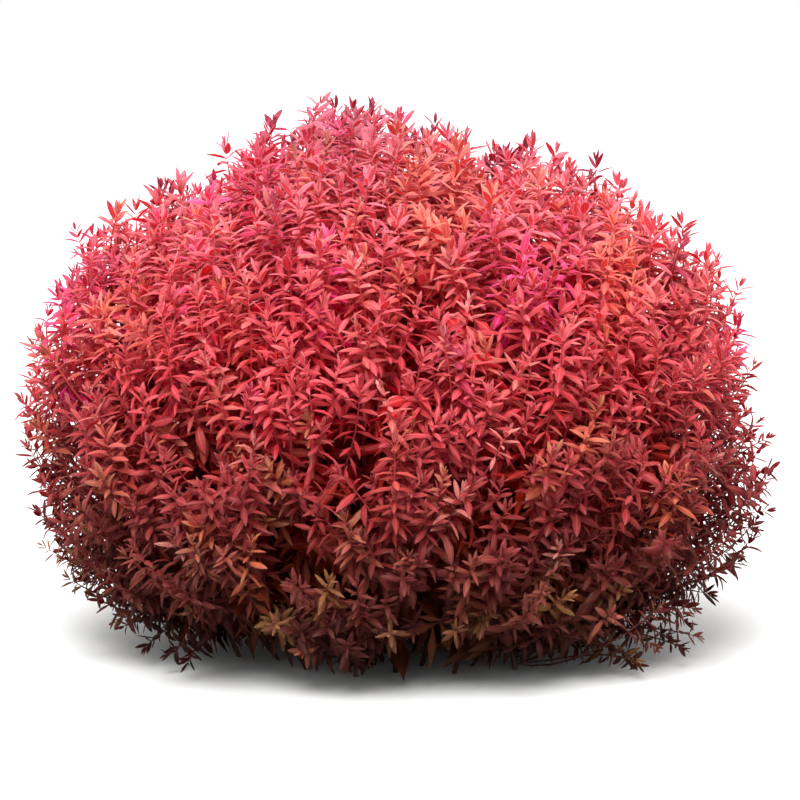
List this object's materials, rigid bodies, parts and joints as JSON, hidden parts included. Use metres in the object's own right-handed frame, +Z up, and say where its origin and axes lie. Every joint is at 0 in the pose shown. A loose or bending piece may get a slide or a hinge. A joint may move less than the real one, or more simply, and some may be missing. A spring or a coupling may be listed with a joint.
{
  "type": "mini giant red rotala",
  "caption": "Dense rounded mound of a red aquarium stem plant, its branching leafy stems cut off flat at the ground so that it stands on them.",
  "frame": {"origin": "middle of the mound's footprint, on the ground that the cut stem ends rest on", "axes": "+Z up, the growing direction; X across the mound as the picture shows it, front at -Y"},
  "size_m": [0.3821, 0.3561, 0.2782],
  "materials": {
    "coral_leaf": "satin",
    "crimson_leaf": "satin",
    "maroon_leaf": "satin"
  },
  "bodies": {
    "root": {"leafy_stem_01": "coral_leaf", "leafy_stem_02": "coral_leaf", "leafy_stem_03": "coral_leaf", "leafy_stem_04": "coral_leaf", "leafy_stem_05": "coral_leaf", "leafy_stem_06": "coral_leaf", "leafy_stem_07": "coral_leaf", "leafy_stem_08": "coral_leaf", "leafy_stem_09": "coral_leaf", "leafy_stem_10": "coral_leaf", "leafy_stem_11": "coral_leaf", "leafy_stem_12": "coral_leaf", "leafy_stem_13": "coral_leaf", "leafy_stem_14": "coral_leaf", "leafy_stem_15": "coral_leaf", "leafy_stem_16": "coral_leaf", "leafy_stem_17": "coral_leaf", "leafy_stem_18": "coral_leaf", "leafy_stem_19": "coral_leaf", "leafy_stem_20": "coral_leaf", "leafy_stem_21": "coral_leaf", "leafy_stem_22": "coral_leaf", "leafy_stem_23": "coral_leaf", "leafy_stem_24": "crimson_leaf", "leafy_stem_25": "crimson_leaf", "leafy_stem_26": "crimson_leaf", "leafy_stem_27": "crimson_leaf", "leafy_stem_28": "crimson_leaf", "leafy_stem_29": "crimson_leaf", "leafy_stem_30": "crimson_leaf", "leafy_stem_31": "crimson_leaf", "leafy_stem_32": "crimson_leaf", "leafy_stem_33": "crimson_leaf", "leafy_stem_34": "crimson_leaf", "leafy_stem_35": "crimson_leaf", "leafy_stem_36": "crimson_leaf", "leafy_stem_37": "crimson_leaf", "leafy_stem_38": "crimson_leaf", "leafy_stem_39": "crimson_leaf", "leafy_stem_40": "crimson_leaf", "leafy_stem_41": "crimson_leaf", "leafy_stem_42": "crimson_leaf", "leafy_stem_43": "crimson_leaf", "leafy_stem_44": "maroon_leaf", "leafy_stem_45": "maroon_leaf", "leafy_stem_46": "maroon_leaf", "leafy_stem_47": "maroon_leaf", "leafy_stem_48": "maroon_leaf", "leafy_stem_49": "maroon_leaf", "leafy_stem_50": "maroon_leaf", "leafy_stem_51": "maroon_leaf", "leafy_stem_52": "maroon_leaf", "leafy_stem_53": "maroon_leaf", "leafy_stem_54": "maroon_leaf"}
  },
  "joints": []
}
